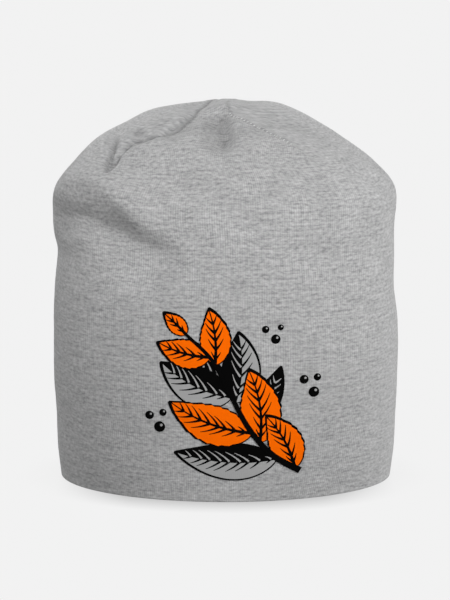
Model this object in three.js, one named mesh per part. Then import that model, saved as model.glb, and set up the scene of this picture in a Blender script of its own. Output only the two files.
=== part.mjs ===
// A slouchy jersey beanie, filled out as if a head or soft padding were inside, and stood on its rim.
// It is one tube of jersey folded in on itself at the rim, so the whole hat is a wall of two plies,
// closed at the top by four sewn darts. Millimetres, +Z up, front towards -Y. The origin is on the
// surface that the rim stands on, under the middle of the hat.
import * as THREE from "three";

// Driving dimensions
const crownHeight = 234.5;
const rimHalfWidth = 103;
const rimHalfDepth = 75;
const plyThickness = 1.2;
const wallThickness = 2 * plyThickness;

// The mesh: columns run up the hat from the rim to the crown, and rows go round it
const columns = 90;
const tubeRows = 7;
const crownRows = 21;
const crownStart = 0.47; // share of the climb from the rim to the crown's middle, where the rows get closer
const topRing = 0.985;
const fabricGrey = 0x9c9c9c;

// The filled-out form without its folds, from the rim up, at even steps of cloth.
// up is a share of crownHeight, left and right are shares of rimHalfWidth, front and back of
// rimHalfDepth, and square is how boxy the section is, where 2 is an ellipse.
const sections = [
  { up: 0.0, left: 0.994, right: 1.002, front: 1.0, back: 1.0, square: 1.95 },
  { up: 0.085, left: 1.012, right: 1.024, front: 1.04, back: 1.04, square: 2.08 },
  { up: 0.17, left: 1.017, right: 1.03, front: 1.073, back: 1.067, square: 2.2 },
  { up: 0.256, left: 1.029, right: 1.04, front: 1.1, back: 1.093, square: 2.3 },
  { up: 0.341, left: 1.03, right: 1.042, front: 1.113, back: 1.12, square: 2.4 },
  { up: 0.426, left: 1.03, right: 1.037, front: 1.12, back: 1.14, square: 2.4 },
  { up: 0.512, left: 1.021, right: 1.013, front: 1.113, back: 1.16, square: 2.4 },
  { up: 0.597, left: 1.012, right: 1.011, front: 1.093, back: 1.173, square: 2.35 },
  { up: 0.682, left: 1.039, right: 1.013, front: 1.053, back: 1.173, square: 2.3 },
  { up: 0.768, left: 1.019, right: 1.019, front: 0.973, back: 1.133, square: 2.25 },
  { up: 0.836, left: 0.901, right: 0.897, front: 0.853, back: 1.04, square: 2.2 },
  { up: 0.896, left: 0.774, right: 0.715, front: 0.707, back: 0.88, square: 2.1 },
  { up: 0.938, left: 0.606, right: 0.568, front: 0.547, back: 0.68, square: 2 },
  { up: 0.974, left: 0.432, right: 0.413, front: 0.373, back: 0.467, square: 2 },
  { up: 0.995, left: 0.15, right: 0.26, front: 0.187, back: 0.24, square: 2 },
  { up: 1.0, left: 0, right: 0, front: 0, back: 0, square: 2 },
];

// Darts, dents and folds. Each follows a path of [degrees round from the front, share of the climb],
// with positive degrees to the right as seen from the front. lift is how far the cloth stands out,
// or in where it is negative; over and under are the widths in mm above and below a path that runs
// to the right; fadeIn and fadeOut are the shares of the path over which the fold comes and goes.
const folds = [
  { name: "front_left_dart", lift: -3, over: 6.5, under: 9, fadeIn: 0.2, fadeOut: 0.3,
    path: [[-90, 0.962], [-57, 0.935], [-31, 0.888], [-27.5, 0.852], [-30.5, 0.818], [-34.5, 0.79],
      [-38.5, 0.771]] },
  { name: "left_dart_point", lift: -3, over: 5.5, under: 5.5, fadeIn: 0.3, fadeOut: 0.2,
    path: [[-36, 0.778], [-42, 0.767], [-46.5, 0.757], [-49, 0.735], [-50, 0.7], [-46, 0.66]] },
  { name: "front_right_dart", lift: -1.9, over: 6, under: 9.5, fadeIn: 0.3, fadeOut: 0.35,
    path: [[5, 0.925], [9.5, 0.905], [20, 0.885], [31, 0.86], [40, 0.83], [46, 0.795], [48, 0.757]] },
  { name: "back_left_dart", lift: -3.6, over: 6.5, under: 6.5, fadeIn: 0.12, fadeOut: 0.45,
    path: [[-138, 0.972], [-136, 0.87], [-134, 0.77], [-132, 0.69]] },
  { name: "back_right_dart", lift: -3.6, over: 6.5, under: 6.5, fadeIn: 0.12, fadeOut: 0.45,
    path: [[138, 0.972], [136, 0.87], [134, 0.77], [132, 0.69]] },
  { name: "gathered_front", lift: -5.8, over: 7, under: 10, fadeIn: 0.3, fadeOut: 0.45,
    path: [[-7.5, 0.925], [-5, 0.88], [-2.4, 0.815], [-1.3, 0.765], [-0.3, 0.72], [0.5, 0.69]] },
  { name: "front_crown_dip", lift: -2.2, over: 5, under: 14, fadeIn: 0.3, fadeOut: 0.3,
    path: [[-33, 0.762], [-31.5, 0.795], [-28, 0.832], [-23.5, 0.866], [-15, 0.885], [-3.5, 0.885],
      [4, 0.87]] },
  { name: "front_crown_roll", lift: 1.5, over: 13, under: 12, fadeIn: 0.35, fadeOut: 0.35,
    path: [[-31, 0.738], [-25.5, 0.729], [-18, 0.719], [-9, 0.708], [-1.5, 0.7], [5, 0.697], [11, 0.703]] },
  { name: "dart_point_tuck", lift: -3, over: 5.5, under: 5.5, fadeIn: 0.15, fadeOut: 0.4,
    path: [[-46, 0.66], [-49.5, 0.69], [-52.5, 0.703], [-55, 0.717], [-62, 0.744], [-70, 0.765],
      [-84, 0.776], [-93, 0.78]] },
  { name: "left_shoulder_lobe", lift: 4.5, over: 12, under: 8, fadeIn: 0.5, fadeOut: 0.4,
    path: [[-112, 0.655], [-88, 0.655], [-70, 0.645], [-55, 0.64], [-42, 0.63], [-34, 0.604],
      [-26, 0.567], [-19, 0.542], [-12, 0.521]] },
  { name: "left_shoulder_fold", lift: -6.4, over: 10, under: 21, fadeIn: 0.33, fadeOut: 0.2,
    path: [[-104, 0.545], [-88, 0.549], [-77.5, 0.551], [-65, 0.555], [-52, 0.558], [-41, 0.549],
      [-34, 0.537], [-27.5, 0.521], [-21.5, 0.509], [-15, 0.5], [-8, 0.487]] },
  { name: "left_waist_fold", lift: -1.5, over: 5.5, under: 10, fadeIn: 0.35, fadeOut: 0.7,
    path: [[-104, 0.476], [-84, 0.478], [-66, 0.482], [-50, 0.477], [-40, 0.468]] },
  { name: "front_sag_upper", lift: -2.4, over: 8, under: 10, fadeIn: 0.25, fadeOut: 0.3,
    path: [[-25.5, 0.652], [-21, 0.646], [-14.5, 0.641], [-6.5, 0.621], [-2, 0.603], [1.5, 0.589],
      [5, 0.57], [8.5, 0.551], [11.5, 0.536]] },
  { name: "front_sag_lower", lift: -0.7, over: 7, under: 8, fadeIn: 0.35, fadeOut: 0.35,
    path: [[-24, 0.615], [-13, 0.572], [-6, 0.532], [0, 0.49]] },
  { name: "right_sag", lift: -1.6, over: 8, under: 12, fadeIn: 0.3, fadeOut: 0.5,
    path: [[8, 0.5], [18, 0.512], [28, 0.503], [40, 0.494], [56, 0.49], [76, 0.49]] },
  { name: "right_shoulder_pinch", lift: -2.2, over: 5, under: 8, fadeIn: 0.35, fadeOut: 0.2,
    path: [[50, 0.654], [58, 0.643], [66, 0.633], [77, 0.614], [92, 0.602]] },
  { name: "back_slouch_fold", lift: -4.6, over: 9, under: 15, fadeIn: 0.3, fadeOut: 0.3,
    path: [[112, 0.6], [135, 0.578], [160, 0.562], [185, 0.566], [210, 0.585], [232, 0.615]] },
  { name: "back_slouch_roll", lift: 2.8, over: 12, under: 9, fadeIn: 0.35, fadeOut: 0.35,
    path: [[118, 0.675], [140, 0.658], [162, 0.646], [185, 0.65], [208, 0.668]] },
  { name: "back_waist_fold", lift: -1.8, over: 9, under: 13, fadeIn: 0.4, fadeOut: 0.4,
    path: [[128, 0.43], [155, 0.405], [180, 0.4], [205, 0.415]] },
];
const foldStep = 4; // mm between the points that stand for a fold's path

// The fold of the cloth at the rim, flattened where it stands: across is a share of the wall
// from outside to inside, and up is a height in mm
const lipHeight = 1.2;
const lip = [
  { across: 0.1, up: 0.4 },
  { across: 0.28, up: 0 },
  { across: 0.72, up: 0 },
  { across: 0.9, up: 0.4 },
];

const sized = sections.map((s) => ({
  z: s.up * crownHeight,
  left: s.left * rimHalfWidth,
  right: s.right * rimHalfWidth,
  front: s.front * rimHalfDepth,
  back: s.back * rimHalfDepth,
  square: s.square,
}));

// The section a row beyond the rim or the crown, so that the form starts straight and ends round
function sectionAt(index) {
  const last = sized.length - 1;
  if (index < 0) {
    const [rim, next] = sized;
    return Object.fromEntries(Object.keys(rim).map((key) => [key, 2 * rim[key] - next[key]]));
  }
  if (index > last) {
    const s = sized[2 * last - index];
    return { ...s, left: -s.left, right: -s.right, front: -s.front, back: -s.back };
  }
  return sized[index];
}

// A size of the section at a share of the climb, on a smooth curve through the table
function sizeAt(climb, key) {
  const spans = sized.length - 1;
  const index = Math.min(Math.floor(climb * spans), spans - 1);
  const [a, b, c, d] = [-1, 0, 1, 2].map((step) => sectionAt(index + step)[key]);
  const f = climb * spans - index;
  return b + 0.5 * f * (c - a + f * (2 * a - 5 * b + 4 * c - d + f * (3 * (b - c) + d - a)));
}

function formPoint(around, climb) {
  const angle = THREE.MathUtils.degToRad(around);
  const [sin, cos] = [Math.sin(angle), Math.cos(angle)];
  const power = 2 / sizeAt(climb, "square");
  return new THREE.Vector3(
    sizeAt(climb, sin > 0 ? "right" : "left") * Math.sign(sin) * Math.abs(sin) ** power,
    -sizeAt(climb, cos > 0 ? "front" : "back") * Math.sign(cos) * Math.abs(cos) ** power,
    sizeAt(climb, "z"),
  );
}

// The outward normal of a surface that is given as a function of around and climb
function normalOf(surface, around, climb, turn, step) {
  const low = Math.max(climb - step, 0);
  const high = Math.min(climb + step, 1 - step / 2);
  const sideways = surface(around + turn, climb).sub(surface(around - turn, climb));
  const upwards = surface(around, high).sub(surface(around, low));
  return sideways.cross(upwards).normalize();
}

const foldLines = folds.map((fold) => {
  const corners = fold.path.map(([around, climb]) => new THREE.Vector2(around, climb));
  const route = new THREE.SplineCurve(corners);
  const rough = route.getPoints(corners.length * 8).map((p) => formPoint(p.x, p.y));
  const length = rough.slice(1).reduce((sum, p, i) => sum + p.distanceTo(rough[i]), 0);
  const steps = Math.ceil(length / foldStep);
  const points = route.getPoints(steps).map((p) => formPoint(p.x, p.y));
  return { ...fold, points };
});

const fade = (share, width) => (width > 0 ? THREE.MathUtils.smoothstep(share, 0, width) : 1);

// How far one fold moves a point of the form
function liftBy(fold, point, normal) {
  let best = { distance: Infinity };
  const nearest = new THREE.Vector3();
  for (let i = 0; i + 1 < fold.points.length; i++) {
    const piece = new THREE.Line3(fold.points[i], fold.points[i + 1]);
    const share = piece.closestPointToPointParameter(point, true);
    const distance = piece.at(share, nearest).distanceTo(point);
    if (distance < best.distance) {
      const up = normal.clone().cross(piece.delta(new THREE.Vector3()));
      const side = up.dot(point.clone().sub(nearest));
      best = { distance, side, along: (i + share) / (fold.points.length - 1) };
    }
  }
  const width = best.side > 0 ? fold.over : fold.under;
  const ends = fade(best.along, fold.fadeIn) * fade(1 - best.along, fold.fadeOut);
  return fold.lift * ends * Math.exp(-((best.distance / width) ** 2));
}

function clothPoint(around, climb) {
  const point = formPoint(around, climb);
  const normal = normalOf(formPoint, around, climb, 1, 0.006);
  const lift = foldLines.reduce((sum, fold) => sum + liftBy(fold, point, normal), 0);
  return point.addScaledVector(normal, lift);
}

const steps = (from, to, count) => Array.from({ length: count }, (_, i) => from + ((to - from) * i) / count);

// Rings of points, from the crown's middle down the outside, round the rim and up the inside
function wallRings() {
  const first = lipHeight / crownHeight / (sections[1].up * (sections.length - 1));
  const climbs = [...steps(first, crownStart, tubeRows), ...steps(crownStart, topRing, crownRows), topRing];
  const turns = steps(0, 360, columns);
  const outside = climbs.map((climb) => turns.map((around) => clothPoint(around, climb)));
  const inside = climbs.map((climb, row) =>
    turns.map((around, column) => {
      const normal = normalOf(clothPoint, around, climb, 2, 0.01);
      return outside[row][column].clone().addScaledVector(normal, -wallThickness);
    }),
  );
  outside[0].forEach((p) => (p.z = lipHeight));
  inside[0].forEach((p) => (p.z = lipHeight));
  const lipRings = lip.map(({ across, up }) =>
    outside[0].map((p, column) => p.clone().lerp(inside[0][column], across).setZ(up)),
  );
  return [...outside.reverse(), ...lipRings, ...inside];
}

function middleOf(ring) {
  const middle = new THREE.Vector3();
  ring.forEach((p) => middle.add(p));
  return middle.divideScalar(ring.length);
}

// One closed surface through the rings, with a point at each end
function closedSkin(rings) {
  const positions = rings.flat().flatMap((p) => p.toArray());
  const index = [];
  const at = (row, column) => row * columns + (column % columns);
  for (let row = 0; row + 1 < rings.length; row++) {
    for (let column = 0; column < columns; column++) {
      const [a, b] = [at(row, column), at(row, column + 1)];
      const [c, d] = [at(row + 1, column), at(row + 1, column + 1)];
      index.push(a, c, b, b, c, d);
    }
  }
  const last = rings.length - 1;
  const top = rings.length * columns;
  positions.push(...middleOf(rings[0]).toArray(), ...middleOf(rings[last]).toArray());
  for (let column = 0; column < columns; column++) {
    index.push(top, at(0, column), at(0, column + 1));
    index.push(top + 1, at(last, column + 1), at(last, column));
  }
  const geometry = new THREE.BufferGeometry();
  geometry.setAttribute("position", new THREE.Float32BufferAttribute(positions, 3));
  geometry.setIndex(index);
  return geometry;
}

const jerseyShell = new THREE.Mesh(
  closedSkin(wallRings()),
  new THREE.MeshStandardMaterial({ color: fabricGrey, roughness: 0.95, metalness: 0, flatShading: true }),
);
jerseyShell.name = "jersey_shell";
jerseyShell.geometry.computeBoundingBox();
const middle = jerseyShell.geometry.boundingBox.getCenter(new THREE.Vector3());
jerseyShell.geometry.translate(-middle.x, -middle.y, 0);

const beanie = new THREE.Group();
beanie.add(jerseyShell);

export default beanie;
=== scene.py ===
import math
from functools import partial

import bpy
import numpy as np
from mathutils import Matrix, Vector, noise
from mathutils.bvhtree import BVHTree


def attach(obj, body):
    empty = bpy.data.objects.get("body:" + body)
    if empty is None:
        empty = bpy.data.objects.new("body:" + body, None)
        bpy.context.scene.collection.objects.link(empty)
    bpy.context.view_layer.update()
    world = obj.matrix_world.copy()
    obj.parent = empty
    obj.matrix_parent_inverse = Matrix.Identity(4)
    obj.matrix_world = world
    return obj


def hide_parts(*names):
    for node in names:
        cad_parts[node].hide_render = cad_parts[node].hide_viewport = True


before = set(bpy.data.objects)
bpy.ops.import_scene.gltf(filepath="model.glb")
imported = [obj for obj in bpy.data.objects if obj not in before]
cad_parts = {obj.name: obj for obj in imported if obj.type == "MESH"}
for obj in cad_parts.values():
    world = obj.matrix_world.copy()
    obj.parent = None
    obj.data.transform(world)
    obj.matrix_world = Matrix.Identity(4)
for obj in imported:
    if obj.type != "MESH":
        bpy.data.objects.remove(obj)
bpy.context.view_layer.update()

mm = 0.001

# Forms are worked out in mm and become metres when a mesh is made. The front faces -Y. "around" is in
# degrees from the front, positive to the right, and "climb" runs from 0 at the rim to 1 at the top.
hatForm = {
    "height": 234.5,
    "halfWidth": 103.0,
    "halfDepth": 75.0,
    # Up, left, right, front, back (shares of the sizes above) and how boxy, 2 for an ellipse. Nearly all
    # the left and right shares, and the height 0.995, were moved from measured ones, mostly by
    # under 1 mm, by a least-squares fit to the photo's outline that was made outside this script.
    "sections": [
        (0.0, 0.994, 1.002, 1.0, 1.0, 1.95),
        (0.085, 1.012, 1.024, 1.04, 1.04, 2.08),
        (0.17, 1.017, 1.03, 1.073, 1.067, 2.2),
        (0.256, 1.029, 1.04, 1.1, 1.093, 2.3),
        (0.341, 1.03, 1.042, 1.113, 1.12, 2.4),
        (0.426, 1.03, 1.037, 1.12, 1.14, 2.4),
        (0.512, 1.021, 1.013, 1.113, 1.16, 2.4),
        (0.597, 1.012, 1.011, 1.093, 1.173, 2.35),
        (0.682, 1.039, 1.013, 1.053, 1.173, 2.3),
        (0.768, 1.019, 1.019, 0.973, 1.133, 2.25),
        (0.836, 0.901, 0.897, 0.853, 1.04, 2.2),
        (0.896, 0.774, 0.715, 0.707, 0.88, 2.1),
        (0.938, 0.606, 0.568, 0.547, 0.68, 2.0),
        (0.974, 0.432, 0.413, 0.373, 0.467, 2.0),
        (0.995, 0.15, 0.26, 0.187, 0.24, 2.0),
        (1.0, 0.0, 0.0, 0.0, 0.0, 2.0),
    ],
}

# The large folds, as (around, climb) paths. lift is mm outwards, widths are mm above and below a path
# that runs to the right, and fades are the shares of the path over which a fold grows and dies away.
largeFolds = {
    "frontLeftDart": {"lift": -2.6, "widths": (6.5, 9.5), "fades": (0.2, 0.3), "path": [
        (-90, 0.962), (-57, 0.935), (-31, 0.888), (-27.5, 0.852), (-30.5, 0.818), (-34.5, 0.79),
        (-38.5, 0.771)]},
    "leftDartPoint": {"lift": -2.6, "widths": (5, 4.5), "fades": (0.3, 0.2), "path": [
        (-36, 0.778), (-42, 0.767), (-46.5, 0.757), (-49, 0.735), (-50, 0.7), (-46, 0.66)]},
    "frontRightDart": {"lift": -1.7, "widths": (6, 9.5), "fades": (0.3, 0.35), "path": [
        (5, 0.925), (9.5, 0.905), (20, 0.885), (31, 0.86), (40, 0.83), (46, 0.795), (48, 0.757)]},
    "backLeftDart": {"lift": -3.6, "widths": (6.5, 6.5), "fades": (0.12, 0.45), "path": [
        (-138, 0.972), (-136, 0.87), (-134, 0.77), (-132, 0.69)]},
    "backRightDart": {"lift": -3.6, "widths": (6.5, 6.5), "fades": (0.12, 0.45), "path": [
        (138, 0.972), (136, 0.87), (134, 0.77), (132, 0.69)]},
    "gatheredFront": {"lift": -5.8, "widths": (7, 10), "fades": (0.3, 0.45), "path": [
        (-7.5, 0.925), (-5, 0.88), (-2.4, 0.815), (-1.3, 0.765), (-0.3, 0.72), (0.5, 0.69)]},
    "frontCrownDip": {"lift": -2.2, "widths": (5, 14), "fades": (0.3, 0.3), "path": [
        (-33, 0.762), (-31.5, 0.795), (-28, 0.832), (-23.5, 0.866), (-15, 0.885), (-3.5, 0.885),
        (4, 0.87)]},
    "frontCrownRoll": {"lift": 1.5, "widths": (13, 12), "fades": (0.35, 0.35), "path": [
        (-31, 0.738), (-25.5, 0.729), (-18, 0.719), (-9, 0.708), (-1.5, 0.7), (5, 0.697), (11, 0.703)]},
    "dartPointTuck": {"lift": -3.0, "widths": (5.5, 5.5), "fades": (0.15, 0.4), "path": [
        (-46, 0.66), (-49.5, 0.69), (-52.5, 0.703), (-55, 0.717), (-62, 0.744), (-70, 0.765), (-84, 0.776),
        (-93, 0.78)]},
    "leftShoulderLobe": {"lift": 4.5, "widths": (12, 8), "fades": (0.5, 0.4), "path": [
        (-112, 0.655), (-88, 0.655), (-70, 0.645), (-55, 0.64), (-42, 0.63), (-34, 0.604), (-26, 0.567),
        (-19, 0.542), (-12, 0.521)]},
    "leftShoulderFold": {"lift": -6.4, "widths": (10, 21), "fades": (0.33, 0.2), "path": [
        (-104, 0.545), (-88, 0.549), (-77.5, 0.551), (-65, 0.555), (-52, 0.558), (-41, 0.549), (-34, 0.537),
        (-27.5, 0.521), (-21.5, 0.509), (-15, 0.5), (-8, 0.487)]},
    "leftWaistFold": {"lift": -1.5, "widths": (5.5, 10), "fades": (0.35, 0.7), "path": [
        (-104, 0.476), (-84, 0.478), (-66, 0.482), (-50, 0.477), (-40, 0.468)]},
    "frontSagUpper": {"lift": -2.4, "widths": (8, 10), "fades": (0.25, 0.3), "path": [
        (-25.5, 0.652), (-21, 0.646), (-14.5, 0.641), (-6.5, 0.621), (-2, 0.603), (1.5, 0.589), (5, 0.57),
        (8.5, 0.551), (11.5, 0.536)]},
    "frontSagLower": {"lift": -0.7, "widths": (7, 8), "fades": (0.35, 0.35), "path": [
        (-24, 0.615), (-13, 0.572), (-6, 0.532), (0, 0.49)]},
    "rightSag": {"lift": -1.6, "widths": (8, 12), "fades": (0.3, 0.5), "path": [
        (8, 0.5), (18, 0.512), (28, 0.503), (40, 0.494), (56, 0.49), (76, 0.49)]},
    "rightShoulderPinch": {"lift": -2.2, "widths": (4.5, 8), "fades": (0.35, 0.2), "path": [
        (50, 0.654), (58, 0.643), (66, 0.633), (77, 0.614), (92, 0.602)]},
    "backSlouchFold": {"lift": -4.6, "widths": (9, 15), "fades": (0.3, 0.3), "path": [
        (112, 0.6), (135, 0.578), (160, 0.562), (185, 0.566), (210, 0.585), (232, 0.615)]},
    "backSlouchRoll": {"lift": 2.8, "widths": (12, 9), "fades": (0.35, 0.35), "path": [
        (118, 0.675), (140, 0.658), (162, 0.646), (185, 0.65), (208, 0.668)]},
    "backWaistFold": {"lift": -1.8, "widths": (9, 13), "fades": (0.4, 0.4), "path": [
        (128, 0.43), (155, 0.405), (180, 0.4), (205, 0.415)]},
}

# Creases and dents that are too small for the solid. shade is painted shade, how much a crease's colour is
# darkened at its deepest; the folds named Shade are mostly painted shade on a shallow dent.
smallFolds = {
    "leftDartCrease": {"lift": -1.4, "widths": (1.4, 1.2), "fades": (0.55, 0.05), "shade": 0.55, "path": [
        (-68.5, 0.944), (-43, 0.915), (-33.5, 0.888), (-31.5, 0.86), (-33, 0.834), (-34.5, 0.811),
        (-35.7, 0.785)]},
    "leftDartRoll": {"lift": 0.4, "widths": (5, 6), "fades": (0.3, 0.3), "path": [
        (-45, 0.9), (-36, 0.855), (-38, 0.82), (-44, 0.79)]},
    "leftDartLine": {"lift": -2.0, "widths": (1.3, 1.1), "fades": (0.08, 0.12), "shade": 0.8, "path": [
        (-35.2, 0.79), (-39, 0.767), (-45.5, 0.765), (-48.3, 0.757), (-48.8, 0.742), (-49, 0.72),
        (-50.3, 0.703), (-49, 0.687), (-45.5, 0.662)]},
    "dartKnot": {"lift": -2.0, "widths": (3, 3), "fades": (0, 0), "shade": 0.8, "path": [
        (-52.5, 0.783), (-50.5, 0.782)]},
    "dartPointCrease": {"lift": -2.4, "widths": (1.7, 1.7), "fades": (0.3, 0.2), "shade": 0.6, "path": [
        (-49.4, 0.722), (-50.2, 0.703), (-49, 0.687), (-47, 0.672), (-44.5, 0.655)]},
    "tuckCrease": {"lift": -2.4, "widths": (1.3, 1.3), "fades": (0.05, 0.35), "shade": 0.8, "path": [
        (-47, 0.668), (-51.5, 0.689), (-54.5, 0.708), (-57.5, 0.728), (-64.5, 0.753), (-73.5, 0.774)]},
    "gatherCrease": {"lift": -2.2, "widths": (5, 5.5), "fades": (0.25, 0.4), "shade": 0.8, "path": [
        (-3.4, 0.908), (-2.5, 0.885), (-1, 0.856), (0, 0.814), (0.9, 0.773), (1, 0.739), (0.5, 0.705)]},
    "frontCrownShade": {"lift": -0.3, "widths": (5, 10), "fades": (0.15, 0.1), "shade": 0.38, "path": [
        (-33.5, 0.765), (-31, 0.793), (-25.5, 0.818), (-17, 0.838), (-9, 0.862), (-2.5, 0.866)]},
    "gatherShade": {"lift": -0.3, "widths": (11, 9), "fades": (0.2, 0.25), "shade": 0.28, "path": [
        (-14, 0.9), (-8.5, 0.855), (-4.5, 0.797), (-2.5, 0.745), (-2, 0.704)]},
    "rightDartShade": {"lift": -0.2, "widths": (5.5, 6), "fades": (0.1, 0.3), "shade": 0.28, "path": [
        (3, 0.811), (15, 0.806), (31, 0.822), (45, 0.815), (55, 0.782), (58, 0.735), (56.5, 0.692)]},
    "frontPuckers": {"lift": -0.7, "widths": (3, 3), "fades": (0.3, 0.3), "path": [
        (-28, 0.818), (-19.8, 0.8), (-11.2, 0.805), (-6, 0.81)]},
    "frontPuckerLip": {"lift": 0.6, "widths": (3, 4), "fades": (0.3, 0.3), "path": [
        (-28, 0.785), (-18, 0.79), (-9, 0.79)]},
}

# The four sewn darts of the crown, as paths from the top of the hat down. The columns of the mesh
# follow them, and the cloth's grain breaks along them. stitched is true where the stitches show.
crownSeams = {
    "backLeft": {"stitched": True, "pucker": 0.2, "groove": 0.5, "top": -135,
                 "path": largeFolds["backLeftDart"]["path"]},
    "frontLeft": {"stitched": False, "pucker": 0.05, "groove": 0.5, "top": -100, "path": [
        (-95, 0.97), (-72, 0.95), (-55, 0.933), (-38, 0.905), (-30, 0.884), (-28.5, 0.852), (-30.5, 0.818),
        (-35.5, 0.785), (-42, 0.757), (-47.5, 0.73), (-49.5, 0.705), (-48, 0.675), (-46, 0.655)]},
    "frontRight": {"stitched": True, "pucker": 0.1, "groove": 0.3, "top": 20, "path": [
        (3, 0.955), (3.5, 0.915), (6, 0.882), (13, 0.853), (19.5, 0.824), (26, 0.793), (31.5, 0.761),
        (35, 0.73), (37, 0.7)]},
    "backRight": {"stitched": True, "pucker": 0.2, "groove": 0.5, "top": 135,
                  "path": largeFolds["backRightDart"]["path"]},
}
seamSpec = {
    "grooveWidth": 1.4, "fullGroove": 0.5,  # mm, and a groove this deep gets the darkest painted shade that a seam gets
    "puckerLength": 3.8, "puckerReach": 4.2,
    "sideShift": 2.1,  # how far the puckers on the two sides of a seam are out of step, in radians
    "slowPucker": 0.5, "slowPace": 0.43,  # a slower wave on top of the puckers, and its pace
    "topFade": 0.12, "pointFade": 0.3,
}

shellSpec = {
    "wall": 2.4,  # two plies of jersey, mm
    "lipHeight": 1.2, "lipSteps": 9, "lipDrop": 1.12, "lipRound": 0.7,  # the fold at the rim
    "panelColumns": 80,
    "crowding": 0.55,  # how much closer the columns are beside a dart, from 0 to 1
    "tubeRows": 56, "crownRows": 134, "topRows": 5, "innerRows": 58,
    "crownStart": 0.47, "topStart": 0.985, "topRing": 0.9965,  # climbs where the rows change
    "largeFoldStep": 4, "smallFoldStep": 2,  # mm between the points that stand for a fold's path
    "unevenness": [(26.0, 0.4), (9.0, 0.12)],  # size and height in mm of the cloth's own waviness
    "evenRim": 0.08,  # climb over which the waviness grows from nothing
    "waleWidth": 1.2,  # mm from one column of stitches to the next
    "rimBelow": 0.2,  # mm, what lies lower is the rim
}


def sizeTable(form):
    scale = [form["height"], form["halfWidth"], form["halfWidth"], form["halfDepth"], form["halfDepth"], 1]
    rows = np.array(form["sections"]) * scale
    below = 2 * rows[0] - rows[1]
    beyond = rows[-2] * [1, -1, -1, -1, -1, 1]
    return np.vstack([below, rows, beyond])


hatSizes = sizeTable(hatForm)


# The sizes at each climb, on a smooth curve through the table
def sizesAt(climb):
    spans = len(hatSizes) - 3
    t = np.clip(climb, 0, 1) * spans
    i = np.minimum(t.astype(int), spans - 1)
    f = (t - i)[..., None]
    a, b, c, d = (hatSizes[i + step] for step in range(4))
    return b + 0.5 * f * (c - a + f * (2 * a - 5 * b + 4 * c - d + f * (3 * (b - c) + d - a)))


def formPoints(around, climb):
    around, climb = np.broadcast_arrays(np.asarray(around, float), np.asarray(climb, float))
    z, left, right, front, back, square = np.moveaxis(sizesAt(climb), -1, 0)
    sin, cos = np.sin(np.radians(around)), np.cos(np.radians(around))
    x = np.where(sin > 0, right, left) * np.sign(sin) * np.abs(sin) ** (2 / square)
    y = -np.where(cos > 0, front, back) * np.sign(cos) * np.abs(cos) ** (2 / square)
    return np.stack([x, y, z], -1)


def unit(vectors, least=1e-9):
    return vectors / np.maximum(np.linalg.norm(vectors, axis=-1, keepdims=True), least)


def formNormals(around, climb, turn=1, step=0.006):
    side = formPoints(around + turn, climb) - formPoints(around - turn, climb)
    high, low = np.minimum(climb + step, 1 - step / 2), np.maximum(climb - step, 0)
    return unit(np.cross(side, formPoints(around, high) - formPoints(around, low)))


def curvePoints(path, count):
    p = np.array(path, float)
    last = len(p) - 1
    t = np.linspace(0, 1, count) * last
    i = np.minimum(t.astype(int), last - 1)
    f = (t - i)[:, None]
    a, b, c, d = p[np.maximum(i - 1, 0)], p[i], p[i + 1], p[np.minimum(i + 2, last)]
    u, v = (c - a) / 2, (d - b) / 2
    return (2 * b - 2 * c + u + v) * f**3 + (-3 * b + 3 * c - 2 * u - v) * f**2 + u * f + b


def foldLine(path, spacing, roughSteps=8):
    rough = formPoints(*curvePoints(path, len(path) * roughSteps).T)
    length = np.linalg.norm(np.diff(rough, axis=0), axis=1).sum()
    return formPoints(*curvePoints(path, math.ceil(length / spacing) + 1).T)


def fade(share, width):
    if width == 0:
        return np.ones_like(share)
    t = np.clip(share / width, 0, 1)
    return t * t * (3 - 2 * t)


# For each point: its distance from a line, which side it is on and how far along the line it lies
def nearestOn(line, points, normals):
    best = np.full(len(points), np.inf)
    side, along = np.zeros(len(points)), np.zeros(len(points))
    for i in range(len(line) - 1):
        run = line[i + 1] - line[i]
        share = np.clip((points - line[i]) @ run / (run @ run), 0, 1)
        offset = points - line[i] - share[:, None] * run
        distance = np.linalg.norm(offset, axis=1)
        closer = distance < best
        best[closer] = distance[closer]
        side[closer] = np.einsum("ij,ij->i", np.cross(normals[closer], run), offset[closer])
        along[closer] = (i + share[closer]) / (len(line) - 1)
    return best, side, along


# The outward lift of the folds at each point of a grid, and the painted shade that they put on its colour
def foldLifts(folds, grid, normals, spacing):
    points, normals = grid.reshape(-1, 3), normals.reshape(-1, 3)
    lift, shade = np.zeros(len(points)), np.zeros(len(points))
    for fold in folds.values():
        distance, side, along = nearestOn(foldLine(fold["path"], spacing), points, normals)
        width = np.where(side > 0, *fold["widths"])
        grow, die = fold["fades"]
        ends = fade(along, grow) * fade(1 - along, die)
        depth = ends * np.exp(-((distance / width) ** 2))
        lift += fold["lift"] * depth
        # painted shade: each crease darkens the colour by its shade where it is deepest
        shade = np.maximum(shade, fold.get("shade", 0) * depth)
    return lift.reshape(grid.shape[:2]), shade.reshape(grid.shape[:2])


# Outward normals of a grid of points whose columns close into a ring
def gridNormals(grid):
    side = np.roll(grid, -1, axis=1) - np.roll(grid, 1, axis=1)
    up = np.gradient(grid, axis=0)
    return unit(np.cross(side, up))


def seamAngles(seam, climbs, count=300):
    route = curvePoints(seam["path"], count)
    route = route[np.argsort(route[:, 1])]
    angles = np.hstack([route[0, 0], route[:, 0], seam["top"]])
    return np.interp(climbs, np.hstack([0, route[:, 1], 1]), angles)


def seamBottom(seam):
    return min(climb for _, climb in seam["path"])


# The angle of every column at every row: columns follow the darts and crowd beside them
def columnAngles(climbs):
    share = np.arange(shellSpec["panelColumns"]) / shellSpec["panelColumns"]
    share = share - shellSpec["crowding"] * np.sin(2 * np.pi * share) / (2 * np.pi)
    edges = [seamAngles(seam, climbs)[:, None] for seam in crownSeams.values()]
    edges.append(edges[0] + 360)
    return np.hstack([a + (b - a) * share for a, b in zip(edges, edges[1:])])


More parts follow.
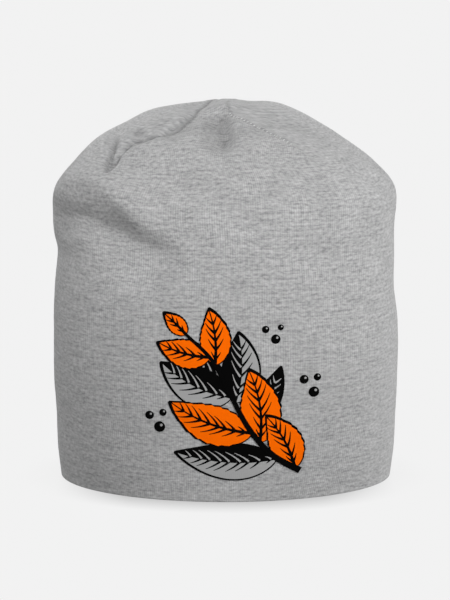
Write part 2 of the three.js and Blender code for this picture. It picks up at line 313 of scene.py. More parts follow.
def outerRows():
    spec = shellSpec
    first = np.interp(spec["lipHeight"], [0, hatSizes[2, 0]], [0, 1 / (len(hatSizes) - 3)])
    tube = np.linspace(first, spec["crownStart"], spec["tubeRows"], endpoint=False)
    crown = np.linspace(spec["crownStart"], spec["topStart"], spec["crownRows"], endpoint=False)
    return np.concatenate([tube, crown, np.linspace(spec["topStart"], spec["topRing"], spec["topRows"])])


# Groove and puckers along the sewn darts, and the painted shade that darkens each point near a seam's
# groove
def seamDetail(grid, normals, climbs):
    flat, flatNormals = grid.reshape(-1, 3), normals.reshape(-1, 3)
    lift, paintedShadeMask = np.zeros(len(flat)), np.zeros(len(flat))
    for number, seam in enumerate(crownSeams.values()):
        line = grid[climbs >= seamBottom(seam), number * shellSpec["panelColumns"]][::-1]
        distance, side, along = nearestOn(line, flat, flatNormals)
        length = np.linalg.norm(np.diff(line, axis=0), axis=1).sum()
        ends = fade(1 - along, seamSpec["pointFade"]) * fade(along, seamSpec["topFade"])
        groove = np.exp(-((distance / seamSpec["grooveWidth"]) ** 2))
        turn = 2 * np.pi * along * length / seamSpec["puckerLength"]
        wave = np.sin(turn + np.where(side > 0, 0.0, seamSpec["sideShift"]))
        wave += seamSpec["slowPucker"] * np.sin(seamSpec["slowPace"] * turn + number)
        reach = np.exp(-((distance / seamSpec["puckerReach"]) ** 2)) - groove
        lift += ends * (seam["pucker"] * wave * reach - seam["groove"] * groove)
        # painted shade in a seam's groove, darker the deeper the groove
        paintedShadeMask = np.maximum(paintedShadeMask, ends * groove * seam["groove"] / seamSpec["fullGroove"])
    return lift.reshape(grid.shape[:2]), paintedShadeMask.reshape(grid.shape[:2])


def clothUnevenness(grid):
    lift = np.zeros(grid.shape[:2])
    for size, height in shellSpec["unevenness"]:
        values = [noise.noise(Vector(p) / size) for p in grid.reshape(-1, 3)]
        lift += height * np.array(values).reshape(lift.shape)
    return lift


# How far along a run of points each one lies, for many runs at once
def reachOf(points, axis=0):
    steps = np.linalg.norm(np.diff(points, axis=axis), axis=-1).cumsum(axis=axis)
    return np.concatenate([np.zeros_like(steps.take([0], axis)), steps], axis)


# The cloth's own grain in mm: along the courses, panel by panel, and up the wales
def clothGrain(climbs, angles, grid):
    turns, steps = 120, 160  # a lattice on the plain form, to measure the way up the cloth on
    lattice = formPoints(*np.meshgrid(np.linspace(-180, 180, turns + 1), np.linspace(0, 1, steps + 1)))
    rise = reachOf(lattice)
    turn = (angles + 180) % 360 / (360 / turns)
    column = np.minimum(turn.astype(int), turns - 1)
    row = np.minimum((climbs * steps).astype(int), steps - 1)[:, None]
    s, t = turn - column, climbs[:, None] * steps - row
    up = (1 - t) * ((1 - s) * rise[row, column] + s * rise[row, column + 1]) + t * (
        (1 - s) * rise[row + 1, column] + s * rise[row + 1, column + 1])

    count = shellSpec["panelColumns"]
    reach = reachOf(np.concatenate([grid, grid[:, :1]], axis=1), 1)
    # below the back darts a panel keeps the width that it has where they end
    level = np.searchsorted(climbs, seamBottom(crownSeams["backLeft"]))
    panels, start = [], 0.0
    for number in range(len(crownSeams)):
        own = reach[:, number * count:(number + 1) * count + 1]
        width = own[:, -1:] - own[:, :1]
        full = width[level, 0]
        stretch = np.where(climbs[:, None] < climbs[level], full / width, 1)
        panels.append(start + full / 2 + (own - own[:, :1] - width / 2) * stretch)
        start += full
    return panels, up


def gridFaces(rows, columns):
    row, column = np.meshgrid(np.arange(rows - 1), np.arange(columns), indexing="ij")
    a, b = row * columns + column, row * columns + (column + 1) % columns
    return np.stack([a, b, b + columns, a + columns], -1).reshape(-1, 4)


# Picks these pieces and nothing else
def pickOnly(*pieces):
    for item in bpy.context.selected_objects:
        item.select_set(False)
    for piece in pieces:
        piece.select_set(True)
    if pieces:
        bpy.context.view_layer.objects.active = pieces[0]


def meshPiece(name, points, faces):
    mesh = bpy.data.meshes.new(name)
    mesh.from_pydata(points, [], faces)
    mesh.update()
    piece = bpy.data.objects.new(name, mesh)
    bpy.context.collection.objects.link(piece)
    return piece, mesh


# Rings of points round the fold of the cloth at the rim, from outside to inside
def lipRings(outerRim, innerRim):
    rings = []
    for step in range(1, shellSpec["lipSteps"] + 1):
        turn = math.pi * step / (shellSpec["lipSteps"] + 1)
        ring = outerRim + (innerRim - outerRim) * (0.5 - 0.5 * math.cos(turn))
        drop = shellSpec["lipDrop"] * math.sin(turn) ** shellSpec["lipRound"]
        ring[:, 2] = shellSpec["lipHeight"] * max(0.0, 1 - drop)
        rings.append(ring)
    return rings


def buildShell():
    climbs = outerRows()
    angles = columnAngles(climbs)
    bare, bareNormals = formPoints(angles, climbs[:, None]), formNormals(angles, climbs[:, None])
    largeLift, _ = foldLifts(largeFolds, bare, bareNormals, shellSpec["largeFoldStep"])
    smooth = bare + bareNormals * largeLift[..., None]
    print("jersey shell: large folds laid")
    normals = gridNormals(smooth)
    smallLift, shade = foldLifts(smallFolds, bare, bareNormals, shellSpec["smallFoldStep"])
    seamLift, paintedShadeMask = seamDetail(smooth, normals, climbs)
    # painted shade of the seams' grooves and of the creases, whichever is darker
    paintedShadeMask = np.maximum(paintedShadeMask, shade)
    settle = fade(climbs, shellSpec["evenRim"])[:, None]
    outer = smooth + normals * (smallLift + seamLift + settle * clothUnevenness(smooth))[..., None]
    print("jersey shell: darts, puckers and small folds laid")

    pick = np.unique(np.round(np.linspace(0, len(climbs) - 1, shellSpec["innerRows"])).astype(int))
    inner = (smooth - normals * shellSpec["wall"])[pick]
    outer[0, :, 2] = inner[0, :, 2] = shellSpec["lipHeight"]
    lip = lipRings(outer[0], inner[0])
    rings = [*inner[::-1], *lip[::-1], *outer]
    columns = outer.shape[1]
    points = np.concatenate(rings + [inner[-1].mean(axis=0)[None], outer[-1].mean(axis=0)[None]])
    faces = gridFaces(len(rings), columns).tolist()
    lastRing = (len(rings) - 1) * columns
    innerTop, outerTop = len(points) - 2, len(points) - 1
    faces += [[innerTop, (c + 1) % columns, c] for c in range(columns)]
    faces += [[lastRing + c, lastRing + (c + 1) % columns, outerTop] for c in range(columns)]

    shell, mesh = meshPiece("jerseyShell", (points * mm).tolist(), faces)
    for polygon in mesh.polygons:
        polygon.use_smooth = True

    # grain, and the painted shade of seams and creases, ring by ring
    panels, up = clothGrain(climbs, angles, smooth)
    lipAcross = reachOf(np.array([outer[0], *lip, inner[0]]))
    ringUp = [-up[i] - 2 * lipAcross[-1].mean() for i in pick[::-1]]
    ringUp += [-row for row in lipAcross[-2:0:-1]]
    ringUp += list(up)
    ringRow = [*pick[::-1], *([0] * len(lip)), *range(len(climbs))]
    setGrain(mesh, panels, np.array(ringUp), np.array(ringRow), columns)
    # the painted shade is kept on the outer rows, as an attribute that darkens the jersey's colour
    values = np.zeros(len(points))
    values[lastRing - (len(climbs) - 1) * columns:lastRing + columns] = paintedShadeMask.reshape(-1)
    attribute = mesh.attributes.new("paintedCreaseShade", "FLOAT", "POINT")
    attribute.data.foreach_set("value", values)
    print(f"jersey shell: {len(mesh.polygons)} faces")
    return shell, outer, climbs


def readArray(items, field, kind, size=1):
    values = np.empty(len(items) * size, kind)
    items.foreach_get(field, values)
    return values


# Gives each corner of a face its place in the grain. ringUp is the way up the cloth at every point of
# a ring, and ringRow is the row of the panels that a ring takes its widths from.
def setGrain(mesh, panels, ringUp, ringRow, columns):
    count, rings = shellSpec["panelColumns"], len(ringRow)
    corners = readArray(mesh.loops, "vertex_index", int)
    totals = readArray(mesh.polygons, "loop_total", int)
    faceOf = np.repeat(np.arange(len(totals)), totals)
    ring, column = np.minimum(corners // columns, rings - 1), corners % columns
    pole = corners >= rings * columns
    # a face is in the panel of its lowest column, or of its highest where the ring closes
    low, high = np.full(len(totals), columns), np.full(len(totals), -1)
    np.minimum.at(low, faceOf, np.where(pole, columns, column))
    np.maximum.at(high, faceOf, np.where(pole, -1, column))
    panel = (np.where(high - low > columns // 2, high, low) // count)[faceOf]
    local = column - panel * count
    local = np.clip(np.where(local < 0, local + columns, local), 0, count)
    local = np.where(pole, count // 2, local)
    beyond = 1.0  # mm of grain from the last ring to the middle of the crown
    poleUp = np.where(corners == rings * columns + 1, ringUp[-1].mean() + beyond, ringUp[0].mean() - beyond)
    grain = np.empty((len(corners), 2))
    grain[:, 0] = np.stack(panels)[panel, ringRow[ring], local]
    grain[:, 1] = np.where(pole, poleUp, ringUp[ring, column])
    layer = mesh.uv_layers.new(name="grain")
    layer.data.foreach_set("uv", (grain * mm).reshape(-1))


def rimMiddle(mesh):
    points = readArray(mesh.vertices, "co", float, 3).reshape(-1, 3)
    rim = points[points[:, 2] < shellSpec["rimBelow"] * mm][:, :2]
    return (rim.min(axis=0) + rim.max(axis=0)) / 2


# Puts the shell over the solid, by the middles of their rims
def centreOnSolid(shell):
    shift = rimMiddle(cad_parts["jersey_shell"].data) - rimMiddle(shell.data)
    for vertex in shell.data.vertices:
        vertex.co.x += shift[0]
        vertex.co.y += shift[1]
    print(f"jersey shell: moved {shift[0] / mm:.2f}, {shift[1] / mm:.2f} mm onto the solid")
    return shift


shell, clothGrid, clothClimbs = buildShell()
solidShift = centreOnSolid(shell)
clothGrid = clothGrid * mm + [*solidShift, 0]


# Materials are made of shared node groups for the knit and the yarn, placed on the cloth's own grain

def feed(links, value, socket):
    if hasattr(value, "is_linked"):
        links.new(value, socket)
    else:
        socket.default_value = value


# Sets or links the inputs of a node. An underscore stands for a space in an input's name.
def fill(links, node, **values):
    for name, value in values.items():
        feed(links, value, node.inputs[name.replace("_", " ")])


def addMath(nodes, links, operation, *values):
    node = nodes.new("ShaderNodeMath")
    node.operation = operation
    for socket, value in zip(node.inputs, values):
        feed(links, value, socket)
    return node.outputs[0]


# A node group that reads the grain. inputs gives the sizes in m that it also reads.
def startGroup(name, inputs, outputs):
    group = bpy.data.node_groups.new(name, "ShaderNodeTree")
    group.interface.new_socket(name="Grain", in_out="INPUT", socket_type="NodeSocketVector")
    for label, value in inputs.items():
        socket = group.interface.new_socket(name=label, in_out="INPUT", socket_type="NodeSocketFloat")
        socket.default_value = value
    for label in outputs:
        group.interface.new_socket(name=label, in_out="OUTPUT", socket_type="NodeSocketFloat")
    source, sink = group.nodes.new("NodeGroupInput"), group.nodes.new("NodeGroupOutput")
    split = group.nodes.new("ShaderNodeSeparateXYZ")
    group.links.new(source.outputs["Grain"], split.inputs[0])
    return group, source, sink, split


knitShape = {
    "legRise": 1.5,  # courses that the leg of a V would rise across a whole wale
    "legDepth": 0.45, "legBase": 0.55,
    "valleyWidth": 0.12, "valleyBlend": 0.1, "valleySteepness": 3.0,  # the line between the legs
}


# Plain knit from its right side: wales of small Vs
def knitGroup():
    shape = knitShape
    sizes = {"Wale Width": 0.0012, "Course Height": 0.0009}
    group, source, sink, split = startGroup("knitStitch", sizes, ["Height", "Gap"])
    calc = partial(addMath, group.nodes, group.links)
    wale = calc("DIVIDE", split.outputs["X"], source.outputs["Wale Width"])
    course = calc("DIVIDE", split.outputs["Y"], source.outputs["Course Height"])
    fromMiddle = calc("ABSOLUTE", calc("SUBTRACT", calc("FRACT", wale), 0.5))  # 0 in the middle of a wale
    rounded = calc("COSINE", calc("MULTIPLY", fromMiddle, math.pi))
    slant = calc("ADD", course, calc("MULTIPLY", fromMiddle, shape["legRise"]))
    legs = calc("MULTIPLY_ADD", calc("SINE", calc("MULTIPLY", slant, 2 * math.pi)), 0.5, 0.5)
    legs = calc("MULTIPLY", rounded, calc("MULTIPLY_ADD", legs, shape["legDepth"], shape["legBase"]))
    valley = calc("SMOOTH_MIN", fromMiddle, shape["valleyWidth"], shape["valleyBlend"])
    height = calc("ADD", legs, calc("MULTIPLY", valley, shape["valleySteepness"]))
    group.links.new(height, sink.inputs["Height"])
    group.links.new(calc("SUBTRACT", 1.0, rounded), sink.inputs["Gap"])
    return group


# Streaks of yarn. The lower lengthwise and spread are, the longer and the higher the streaks.
heatherStreaks = {
    "fine": {"lengthwise": 1.0, "spread": 0.66, "detail": 3.0, "offset": 3.7},
    "coarse": {"lengthwise": 0.17, "spread": 0.52, "detail": 2.0, "offset": 41.3},
    "drift": {"lengthwise": 0.16, "spread": 0.035, "detail": 2.0, "offset": 77.1},
    "fineShare": 0.64, "coarseShare": 0.36, "roughness": 0.55,
}


# Heather yarn: each course carries its own run of light and dark fibres
def heatherGroup():
    sizes = {"Course Height": 0.0009, "Fleck Length": 0.004}
    group, source, sink, split = startGroup("heatherYarn", sizes, ["Shade", "Drift"])
    nodes, links = group.nodes, group.links
    calc = partial(addMath, nodes, links)
    run = calc("DIVIDE", split.outputs["X"], source.outputs["Fleck Length"])
    course = calc("DIVIDE", split.outputs["Y"], source.outputs["Course Height"])

    def streaks(lengthwise, spread, detail, offset):
        place = nodes.new("ShaderNodeCombineXYZ")
        x, y = calc("MULTIPLY", run, lengthwise), calc("MULTIPLY_ADD", course, spread, offset)
        fill(links, place, X=x, Y=y)
        texture = nodes.new("ShaderNodeTexNoise")
        texture.noise_dimensions = "2D"
        fill(links, texture, Vector=place.outputs[0], Scale=1.0, Detail=detail,
             Roughness=heatherStreaks["roughness"])
        return texture.outputs["Fac"]

    fine = calc("MULTIPLY", streaks(**heatherStreaks["fine"]), heatherStreaks["fineShare"])
    coarse = calc("MULTIPLY", streaks(**heatherStreaks["coarse"]), heatherStreaks["coarseShare"])
    links.new(calc("ADD", fine, coarse), sink.inputs["Shade"])
    links.new(streaks(**heatherStreaks["drift"]), sink.inputs["Drift"])
    return group


knit = knitGroup()
heather = heatherGroup()

jerseyFinish = {
    # the fibres' colours by how light the yarn is, from 0 to 1
    "fibres": [(0.30, (0.26, 0.26, 0.263)), (0.50, (0.41, 0.41, 0.412)), (0.72, (0.56, 0.56, 0.56))],
    "courseHeight": 0.00092, "waleWidth": shellSpec["waleWidth"] * mm, "fleckLength": 0.0025,
    # each pair is how much a shade changes with the yarn's drift, and where it starts: the first for the
    # painted shade in the gaps between wales, the second for the yarn's own tone
    "gapByDrift": (-0.5, 0.12), "shadeByDrift": (0.28, 0.86),
    # the wales' level that the gaps' painted shade darkens from, and how much painted shade darkens seams
    # and creases at their deepest
    "ridgeShade": 1.04, "paintedShadeStrength": -0.36,
    "bump": 0.42, "bumpDepth": 0.0004,
    "roughness": 0.95, "specular": 0.2, "sheen": 0.35, "sheenRoughness": 0.5,
}


def newMaterial(name):
    material = bpy.data.materials.new(name)
    material.use_nodes = True
    nodes, links = material.node_tree.nodes, material.node_tree.links
    return material, nodes, links, nodes["Principled BSDF"]


def placeGroup(nodes, links, group, **values):
    node = nodes.new("ShaderNodeGroup")
    node.node_tree = group
    fill(links, node, **values)
    return node


# The knit and the yarn on a piece's grain
def clothNodes(nodes, links):
    grain = nodes.new("ShaderNodeUVMap")
    grain.uv_map = "grain"
    shared = {"Grain": grain.outputs["UV"], "Course_Height": jerseyFinish["courseHeight"]}
    stitch = placeGroup(nodes, links, knit, Wale_Width=jerseyFinish["waleWidth"], **shared)
    yarn = placeGroup(nodes, links, heather, Fleck_Length=jerseyFinish["fleckLength"], **shared)
    return stitch, yarn


# The base colour of a shader is a colour times a shade
def shadeBase(nodes, links, shader, colour, shade):
    tint = nodes.new("ShaderNodeVectorMath")
    tint.operation = "SCALE"
    feed(links, colour, tint.inputs[0])
    links.new(shade, tint.inputs["Scale"])
    links.new(tint.outputs[0], shader.inputs["Base Color"])


def addBump(nodes, links, shader, height, strength, depth):
    bump = nodes.new("ShaderNodeBump")
    fill(links, bump, Strength=strength, Distance=depth, Height=height)
    links.new(bump.outputs["Normal"], shader.inputs["Normal"])


def heatherJersey():
    finish = jerseyFinish
    material, nodes, links, shader = newMaterial("heatherJersey")
    calc = partial(addMath, nodes, links)
    stitch, yarn = clothNodes(nodes, links)
    ramp = nodes.new("ShaderNodeValToRGB")
    stops = ramp.color_ramp.elements
    stops.new(0.5)  # between the two that a new ramp has
    for stop, (place, colour) in zip(stops, finish["fibres"]):
        stop.position = place
        stop.color = (*colour, 1)
    links.new(yarn.outputs["Shade"], ramp.inputs["Fac"])

    # painted shade makes the gaps between wales, the sewn darts and the creases a little darker, the gaps'
    # painted shade varies with the yarn's slow drift, and the drift is also the yarn's own darker and
    # lighter tone
    seam = nodes.new("ShaderNodeAttribute")
    seam.attribute_name = "paintedCreaseShade"
    gapDepth = calc("MULTIPLY_ADD", yarn.outputs["Drift"], *finish["gapByDrift"])
    # painted shade in the gaps between wales, deeper or shallower with the yarn's drift
    paintedGapShade = calc("MULTIPLY_ADD", stitch.outputs["Gap"], gapDepth, finish["ridgeShade"])
    driftShade = calc("MULTIPLY_ADD", yarn.outputs["Drift"], *finish["shadeByDrift"])
    # painted shade of seams and creases, from the shell's attribute
    paintedShadeStrength = calc("MULTIPLY_ADD", seam.outputs["Fac"], finish["paintedShadeStrength"], 1.0)
    shade = calc("MULTIPLY", calc("MULTIPLY", paintedGapShade, driftShade), paintedShadeStrength)
    shadeBase(nodes, links, shader, ramp.outputs["Color"], shade)
    addBump(nodes, links, shader, stitch.outputs["Height"], finish["bump"], finish["bumpDepth"])
    fill(links, shader, Roughness=finish["roughness"], Specular_IOR_Level=finish["specular"],
         Sheen_Weight=finish["sheen"], Sheen_Roughness=finish["sheenRoughness"])
    return material


shell.data.materials.append(heatherJersey())
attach(shell, "root")
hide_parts("jersey_shell")

# The print is a leafy sprig in three inks, each a thin film in the cloth's surface

printSpec = {
    "film": 0.25,  # mm thick, and the lifts of its face above the cloth are in mm too
    "lifts": {"rim": 0.08, "leaf": 0.13, "vein": 0.18, "pale": 0.23}, "layerLift": 0.16,
    "partInks": {"rim": "black", "vein": "black", "pale": "grey"},
    "castFrom": -0.3,  # m, well in front of the hat
    "stem": [(45, 19), (28, 30), (14, 47), (3, 68), (-8, 89), (-23, 104)],  # (x, z) in mm
    "stemWidths": (4.2, 1.8), "stemSteps": 60, "stemLayer": 3,
    # share of the stem, turn from it, length, width, bend, ink and layer, in mm and degrees
    "leaves": [
        (0.05, -48, 37, 20, 30, "orange", 3),
        (0.16, 46, 60, 22, -26, "grey", 1),
        (0.30, -48, 45, 24, 34, "orange", 2),
        (0.36, 50, 52, 24, -32, "orange", 2),
        (0.42, -76, 40, 15, 30, "black", 0),
        (0.55, -44, 42, 22, 30, "grey", 1),
        (0.58, 54, 46, 23, -34, "grey", 1),
        (0.68, 28, 30, 14, 16, "grey", 0),
        (0.77, -38, 33, 18, 26, "orange", 2),
        (0.82, 50, 31, 17, -28, "orange", 2),
        (1.00, -4, 17, 10, 8, "orange", 1),
    ],
    # x, z and radius in mm
    "berries": [(-39, 47, 3.3), (-45, 54, 2.6), (-37, 56, 2.2), (53, 68, 3.2), (47, 76, 2.7), (55, 77, 2.2),
                (30, 101, 2.8), (24, 107, 2.2), (33, 108, 1.8)],
    "berryLayer": 1, "shineOffset": 0.32, "shineSize": 0.24,  # the spot of light, in radii
}

leafForm = {
    "steps": 36, "across": 6,  # cells along a leaf and across it
    "peak": 0.82, "fullness": 0.85,  # the lower, the nearer the base it is widest and the fuller it is
    "leastHalf": 0.1,  # mm
    "teeth": 9, "toothDepth": 0.09, "smoothBase": 0.12,  # the share at its base that has no teeth
    "rim": 1.25,  # mm
    "rimPast": 1.6, "rimAtTip": 0.4,  # how far past the tip it goes and how wide it is there, in rims
    "shadeSpill": 1.01,  # the dark half of a shaded leaf just covers its edge
    "veinWidth": 1.5, "veinSpacing": 6.5,  # mm
    "midrib": (0.7, 0.2),  # half widths at the base and the tip, in vein widths
    "firstVein": 0.7, "veinMargin": 1.2,  # in gaps between veins
    "veinSteps": 6, "veinTurn": 44, "veinBend": 20,  # degrees
    "veinReach": 1.02, "veinTip": 0.2,  # in half widths of the leaf, and in its own width
    "halfWidths": {"vein": 0.55, "pale": 0.4},  # of the side veins, in vein widths
}


# A run of points that starts at base, heads a number of degrees left of straight up and bends as it goes
def bentRun(base, heading, length, bend, steps):
    angles = np.radians(heading + bend * (np.arange(steps) + 0.5) / steps)
    moves = np.stack([-np.sin(angles), np.cos(angles)], -1) * length / steps
    return np.vstack([base, base + moves.cumsum(axis=0)])


# A flat strip along a run, made of rows of points from its right edge (-1) to its left edge (1)
def stripGrid(run, halfWidths, across, low=-1.0, high=1.0):
    ahead = np.gradient(run, axis=0)
    ahead /= np.linalg.norm(ahead, axis=1, keepdims=True)
    left = np.stack([-ahead[:, 1], ahead[:, 0]], -1)
    shares = np.linspace(low, high, across + 1)
    return run[:, None] + left[:, None] * (np.asarray(halfWidths)[:, None] * shares)[..., None]


def discGrid(centre, radius, steps=12, across=8, least=0.05):
    rise = radius * np.cos(np.linspace(math.pi, 0, steps + 1))
    run = np.stack([np.full(steps + 1, centre[0]), centre[1] + rise], -1)
    return stripGrid(run, np.sqrt(np.maximum(radius**2 - rise**2, (least * radius) ** 2)), across)


def leafParts(base, heading, turn, length, width, bend, ink, layer):
    form, steps = leafForm, leafForm["steps"]
    share = np.linspace(0, 1, steps + 1)
    run = bentRun(base, heading + turn, length, bend, steps)
    half = 0.5 * width * np.sin(np.pi * share ** form["peak"]) ** form["fullness"]
    half = np.maximum(half, form["leastHalf"])
    if ink == "orange":
        teeth = (share * form["teeth"]) % 1.0
        half = half * (1 - form["toothDepth"] * teeth * (share > form["smoothBase"]))
    rimRun = bentRun(base, heading + turn, length + form["rimPast"] * form["rim"], bend, steps)
    rim = form["rim"] * np.linspace(1.0, form["rimAtTip"], steps + 1)
    parts = [("rim", stripGrid(rimRun, half + rim, form["across"]))]
    dark = 1.0 if turn < 0 else -1.0  # the upper side of a shaded leaf is its dark one
    shaded = ink == "grey"
    if ink != "black":
        parts.append((ink, stripGrid(run, half, form["across"])))
        if shaded:
            spill = half * form["shadeSpill"]
            parts.append(("vein", stripGrid(run, spill, form["across"] // 2, min(0, dark), max(0, dark))))
        midrib = form["veinWidth"] * np.linspace(*form["midrib"], steps + 1)
        parts.append(("vein", stripGrid(run, midrib, 2)))
    veins = round(length / form["veinSpacing"])
    taper = np.linspace(1, form["veinTip"], form["veinSteps"] + 1)
    for number in range(veins):
        at = round((number + form["firstVein"]) * steps / (veins + form["veinMargin"]))
        step = run[at + 1] - run[at]
        ahead = math.degrees(math.atan2(-step[0], step[1]))
        reach = half[at] * form["veinReach"]
        for side in (1, -1):
            kind = "pale" if ink == "black" or (shaded and side == dark) else "vein"
            vein = bentRun(run[at], ahead + side * form["veinTurn"], reach, -side * form["veinBend"],
                           form["veinSteps"])
            thick = form["veinWidth"] * form["halfWidths"][kind]
            parts.append((kind, stripGrid(vein, thick * taper, 1)))
    return [(kind, layer, grid) for kind, grid in parts]


# The shapes of the print, each with its kind and its layer
def printParts():
    spec = printSpec
    stem = curvePoints(spec["stem"], spec["stemSteps"] + 1)
    stemHalf = np.linspace(*spec["stemWidths"], len(stem)) / 2
    parts = [("vein", spec["stemLayer"], stripGrid(stem, stemHalf, 2))]
    slope = np.gradient(stem, axis=0)
    headings = np.degrees(np.arctan2(-slope[:, 0], slope[:, 1]))
    for share, *leaf in spec["leaves"]:
        at = round(share * spec["stemSteps"])
        parts += leafParts(stem[at], headings[at], *leaf)
    for x, z, radius in spec["berries"]:
        shine = spec["shineOffset"] * radius
        parts.append(("rim", spec["berryLayer"], discGrid((x, z), radius)))
        spot = discGrid((x + shine, z + shine), spec["shineSize"] * radius)
        parts.append(("pale", spec["berryLayer"], spot))
    return parts


inkFinish = {
    "colours": {"orange": (1.0, 0.150, 0.0), "grey": (0.37, 0.37, 0.37), "black": (0.002, 0.002, 0.002)},
    "through": (0.16, 0.92),  # how much of the yarn's shade shows through the ink, and what is added
    "bump": 0.2, "roughness": 0.9, "specular": 0.03,
}


def inkMaterial(name, colour):
    material, nodes, links, shader = newMaterial(name)
    stitch, yarn = clothNodes(nodes, links)
    shade = addMath(nodes, links, "MULTIPLY_ADD", yarn.outputs["Shade"], *inkFinish["through"])
    shadeBase(nodes, links, shader, colour, shade)
    addBump(nodes, links, shader, stitch.outputs["Height"], inkFinish["bump"], jerseyFinish["bumpDepth"])
    fill(links, shader, Roughness=inkFinish["roughness"], Specular_IOR_Level=inkFinish["specular"])
    return material


# Lays flat (x, z) shapes in mm on the front of the cloth as one ink film
def layFilm(name, shapes, material, surface):
    points, faces, grain = [], [], []
    for grid, lift in shapes:
        first, columns = len(points), grid.shape[1]
        for x, z in grid.reshape(-1, 2) * mm:
            place = Vector((x + solidShift[0], printSpec["castFrom"], z))
            hit = surface.ray_cast(place, Vector((0, 1, 0)))[0]
            points.append((place.x, hit.y - lift * mm, z))
            grain.append((x, z))
        for row in range(len(grid) - 1):
            start = first + row * columns
            faces += [(start + c, start + c + columns, start + c + columns + 1, start + c + 1)
                      for c in range(columns - 1)]
    piece, mesh = meshPiece(name, points, faces)
    layer = mesh.uv_layers.new(name="grain")
    for loop in mesh.loops:
        layer.data[loop.index].uv = grain[loop.vertex_index]
    pickOnly(piece)
    film = piece.modifiers.new("film", "SOLIDIFY")
    film.thickness = printSpec["film"] * mm
    film.offset = -1
    bpy.ops.object.modifier_apply(modifier="film")
    piece.data.materials.append(material)
    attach(piece, "root")
    return piece


def buildPrint():
    surface = BVHTree.FromObject(shell, bpy.context.evaluated_depsgraph_get())
    lifts, parts, pieces = printSpec["lifts"], printParts(), []
    for ink, colour in inkFinish["colours"].items():
        shapes = [(grid, lifts.get(kind, lifts["leaf"]) + layer * printSpec["layerLift"])
                  for kind, layer, grid in parts if printSpec["partInks"].get(kind, kind) == ink]
        pieces.append(layFilm(f"{ink}Print", shapes, inkMaterial(f"{ink}Ink", colour), surface))
    print(f"print: {len(parts)} shapes in {len(pieces)} inks")
    return pieces


printPieces = buildPrint()

# The stitches that show along the darts, as short straight dashes across each seam

threadSpec = {
    "spacing": 2.3, "length": 1.8, "thickness": 0.4, "stand": 0.16,  # mm
    "slant": 20,  # degrees
    "clearPoint": 0.04, "highest": 0.895,  # the climb above a dart's point, and the climb where they end
    "columnReach": 4, "rowReach": 2,  # how far to look for the way across and along the cloth
    "colour": (0.74, 0.74, 0.74), "shade": (0.3, 0.82),
    "plies": 900, "plyTwist": 1.5, "bump": 0.3, "bumpDepth": 0.0001, "roughness": 0.6,
}


def threadMaterial():
    spec = threadSpec
    material, nodes, links, shader = newMaterial("paleThread")
    place = nodes.new("ShaderNodeTexCoord")
    wave = nodes.new("ShaderNodeTexWave")
    fill(links, wave, Scale=spec["plies"], Distortion=spec["plyTwist"], Vector=place.outputs["Object"])
    shade = addMath(nodes, links, "MULTIPLY_ADD", wave.outputs["Fac"], *spec["shade"])
    shadeBase(nodes, links, shader, spec["colour"], shade)
    addBump(nodes, links, shader, wave.outputs["Fac"], spec["bump"], spec["bumpDepth"])
    fill(links, shader, Roughness=spec["roughness"])
    return material


# One stitch at the middle of the world, as long, wide and high as it will be
def firstStitch():
    spec = threadSpec
    pickOnly()
    bpy.ops.mesh.primitive_uv_sphere_add(segments=6, ring_count=5, radius=0.5)
    bpy.ops.object.mode_set(mode="EDIT")
    bpy.ops.mesh.select_all(action="SELECT")
    bpy.ops.transform.resize(value=(spec["length"] * mm, spec["thickness"] * mm, spec["thickness"] * mm))
    bpy.ops.object.mode_set(mode="OBJECT")
    bpy.ops.object.shade_smooth()
    return bpy.context.object


# Where a stitch goes and how it lies, at a row and column of the cloth
def stitchPlace(row, column):
    spec, slant = threadSpec, math.radians(threadSpec["slant"])
    aside, ahead = spec["columnReach"], spec["rowReach"]
    across = unit(clothGrid[row, column + aside] - clothGrid[row, column - aside])
    up = unit(clothGrid[row + ahead, column] - clothGrid[row - ahead, column])
    out = unit(np.cross(across, up))
    along = unit(across * math.cos(slant) + np.cross(out, across) * math.sin(slant))
    place = Matrix((along, np.cross(out, along), out)).transposed().to_4x4()
    place.translation = Vector(clothGrid[row, column] + out * spec["stand"] * mm)
    return place


def buildThreads():
    spec, stitches = threadSpec, []
    first = firstStitch()
    for number, seam in enumerate(crownSeams.values()):
        if not seam["stitched"]:
            continue
        column = number * shellSpec["panelColumns"]
        lowest = seamBottom(seam) + spec["clearPoint"]
        rows = np.nonzero((clothClimbs > lowest) & (clothClimbs < spec["highest"]))[0]
        reach = reachOf(clothGrid[rows, column])
        for travel in np.arange(0.5 * spec["spacing"], reach[-1] / mm, spec["spacing"]) * mm:
            copy = first.copy()
            copy.data = first.data.copy()
            copy.data.transform(stitchPlace(rows[np.searchsorted(reach, travel)], column))
            bpy.context.collection.objects.link(copy)
            stitches.append(copy)
    bpy.data.objects.remove(first)
    pickOnly(*stitches)
    bpy.ops.object.join()
    threads = bpy.context.object
    threads.name = "dartThreads"
    threads.data.materials.clear()
    threads.data.materials.append(threadMaterial())
    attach(threads, "root")
    print(f"dart threads: {len(stitches)} stitches")
    return threads


threads = buildThreads()

# Floor, light and camera

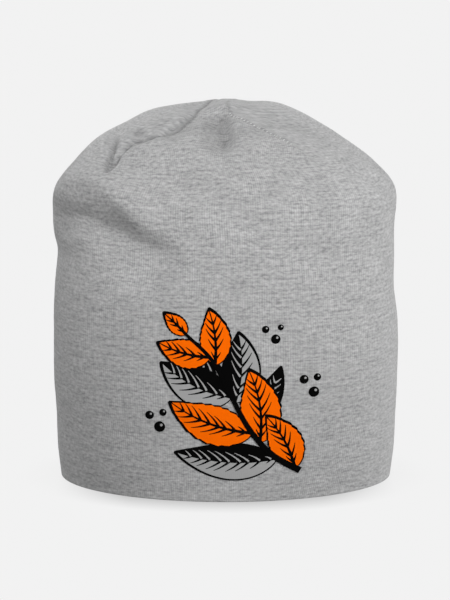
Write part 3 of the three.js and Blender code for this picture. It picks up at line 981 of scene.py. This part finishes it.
studio = {
    "floorSize": 8.0, "paper": 0.887, "paperGlow": 0.03, "sky": 0.12,
    # the contact shadow is painted into the floor: how far it reaches in m, how deep it is and its samples
    "shadowReach": 0.027, "shadowDepth": 0.6, "shadowSamples": 16,
    # the painted contact shadow thins out between these distances from the middle in m, to this share
    "thinsFrom": 0.06, "thinsTo": 0.104, "sideShadow": 0.1,
    "lightSize": 0.9, "lightAim": (0.0, 0.0, 0.12), "lightDistance": 1.9,
    # Degrees from the front, positive to the right, degrees up, and strength in W. All strengths but
    # backFill's come from a least-squares fit to the photo's brightness, made outside this script.
    "lights": [
        ("keyFront", 25, 35, 20.3),
        ("lowFront", 0, 5, 7.1),
        ("lowRight", 50, 5, 10.3),
        ("sideRight", 110, 5, 16.3),
        ("lowLeft", -50, 5, 8.5),
        ("backLeft", -110, 35, 13.0),
        ("backTop", 180, 35, 2.5),
        ("backFill", -160.7, 9.4, 9.0),
    ],
    "distance": 1.7, "elevation": 10.0, "aim": (0.0, 0.0, 0.110), "lens": 164.5, "sensor": 36,
}


# What the camera sees and what lights the hat are two different strengths
def seenStrength(nodes, links, unseen, seen):
    path = nodes.new("ShaderNodeLightPath")
    mix = nodes.new("ShaderNodeMix")
    fill(links, mix, Factor=path.outputs["Is Camera Ray"], A=unseen, B=seen)
    return mix.outputs["Result"]


def makeFloor():
    pickOnly()
    bpy.ops.mesh.primitive_plane_add(size=studio["floorSize"], location=(0, 0, 0))
    floor = bpy.context.object
    floor.name = "floor"
    material, nodes, links, shader = newMaterial("palePaper")
    calc = partial(addMath, nodes, links)
    nodes.remove(shader)
    shadow = nodes.new("ShaderNodeAmbientOcclusion")
    shadow.samples = studio["shadowSamples"]
    shadow.inputs["Distance"].default_value = studio["shadowReach"]
    # the contact shadow is painted into the floor's glow from ambient occlusion; it is deepest in front of
    # the rim and thins out beside it
    place = nodes.new("ShaderNodeTexCoord")
    split = nodes.new("ShaderNodeSeparateXYZ")
    links.new(place.outputs["Object"], split.inputs[0])
    thin = nodes.new("ShaderNodeMapRange")
    fill(links, thin, From_Min=studio["thinsFrom"], From_Max=studio["thinsTo"],
         To_Min=studio["shadowDepth"], To_Max=studio["shadowDepth"] * studio["sideShadow"],
         Value=calc("ABSOLUTE", split.outputs["X"]))
    # painted shadow: the floor's glow is darkened where ambient occlusion finds the hat near
    dark = calc("SUBTRACT", 1.0, shadow.outputs["AO"])
    level = calc("SUBTRACT", 1.0, calc("MULTIPLY", dark, thin.outputs["Result"]))
    seen = calc("MULTIPLY", level, studio["paper"])
    glow = nodes.new("ShaderNodeEmission")
    links.new(seenStrength(nodes, links, studio["paperGlow"], seen), glow.inputs["Strength"])
    links.new(glow.outputs[0], nodes["Material Output"].inputs["Surface"])
    floor.data.materials.append(material)


def makeWorld():
    world = bpy.data.worlds.new("studio")
    bpy.context.scene.world = world
    world.use_nodes = True
    nodes, links = world.node_tree.nodes, world.node_tree.links
    strength = seenStrength(nodes, links, studio["sky"], studio["paper"])
    fill(links, nodes["Background"], Strength=strength, Color=(1, 1, 1, 1))


def makeLight(name, turn, rise, power):
    turn, rise = math.radians(turn), math.radians(rise)
    flat = math.cos(rise)
    away = Vector((math.sin(turn) * flat, -math.cos(turn) * flat, math.sin(rise))) * studio["lightDistance"]
    bpy.ops.object.light_add(type="AREA", location=Vector(studio["lightAim"]) + away)
    light = bpy.context.object
    light.name = name
    light.data.shape = "DISK"
    light.data.size = studio["lightSize"]
    light.data.energy = power
    light.rotation_euler = away.to_track_quat("Z", "Y").to_euler()


def makeCamera():
    tilt = math.radians(studio["elevation"])
    aim = Vector(studio["aim"]) + Vector((*solidShift, 0))
    away = Vector((0, -math.cos(tilt), math.sin(tilt))) * studio["distance"]
    bpy.ops.object.camera_add(location=aim + away, rotation=(math.pi / 2 - tilt, 0, 0))
    camera = bpy.context.object
    camera.data.sensor_fit = "VERTICAL"
    camera.data.sensor_height = studio["sensor"]
    camera.data.lens = studio["lens"]
    bpy.context.scene.camera = camera


makeFloor()
makeWorld()
for light in studio["lights"]:
    makeLight(*light)
makeCamera()
bpy.context.scene.view_settings.view_transform = "Standard"
print("studio: floor, light and camera set")
